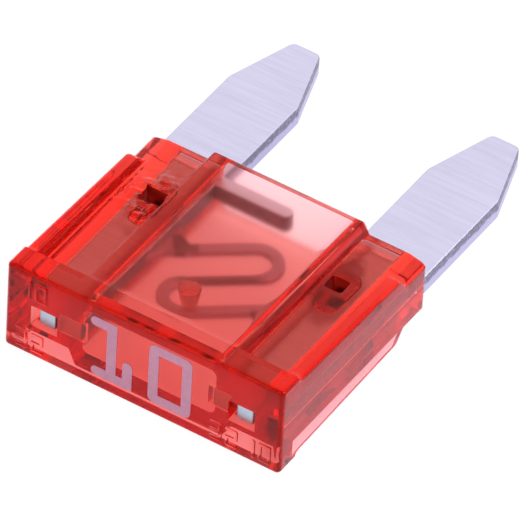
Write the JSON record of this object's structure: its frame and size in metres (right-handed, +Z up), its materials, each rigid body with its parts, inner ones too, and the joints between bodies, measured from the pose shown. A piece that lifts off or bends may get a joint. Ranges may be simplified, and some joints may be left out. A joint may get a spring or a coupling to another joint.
{
  "type": "miniature blade fuse",
  "caption": "Miniature automotive blade fuse: a translucent red moulded housing with a printed rating, on a stamped metal element with flat tapered blades and a thin S-shaped link.",
  "frame": {"origin": "on the surface that the fuse lies on, under the middle of its bounding box", "axes": "+X across the blades, +Y from the head to the blade tips, +Z up through the fuse's thickness"},
  "size_m": [0.011, 0.0162, 0.0037],
  "materials": {
    "housing": "clear red moulding, polished",
    "element": "tin-plated zinc strip with fine rolling lines",
    "ink": "thin pale ink"
  },
  "bodies": {
    "root": {"housing": "housing", "fuse_element": "element", "rating_print": "ink"}
  },
  "joints": []
}
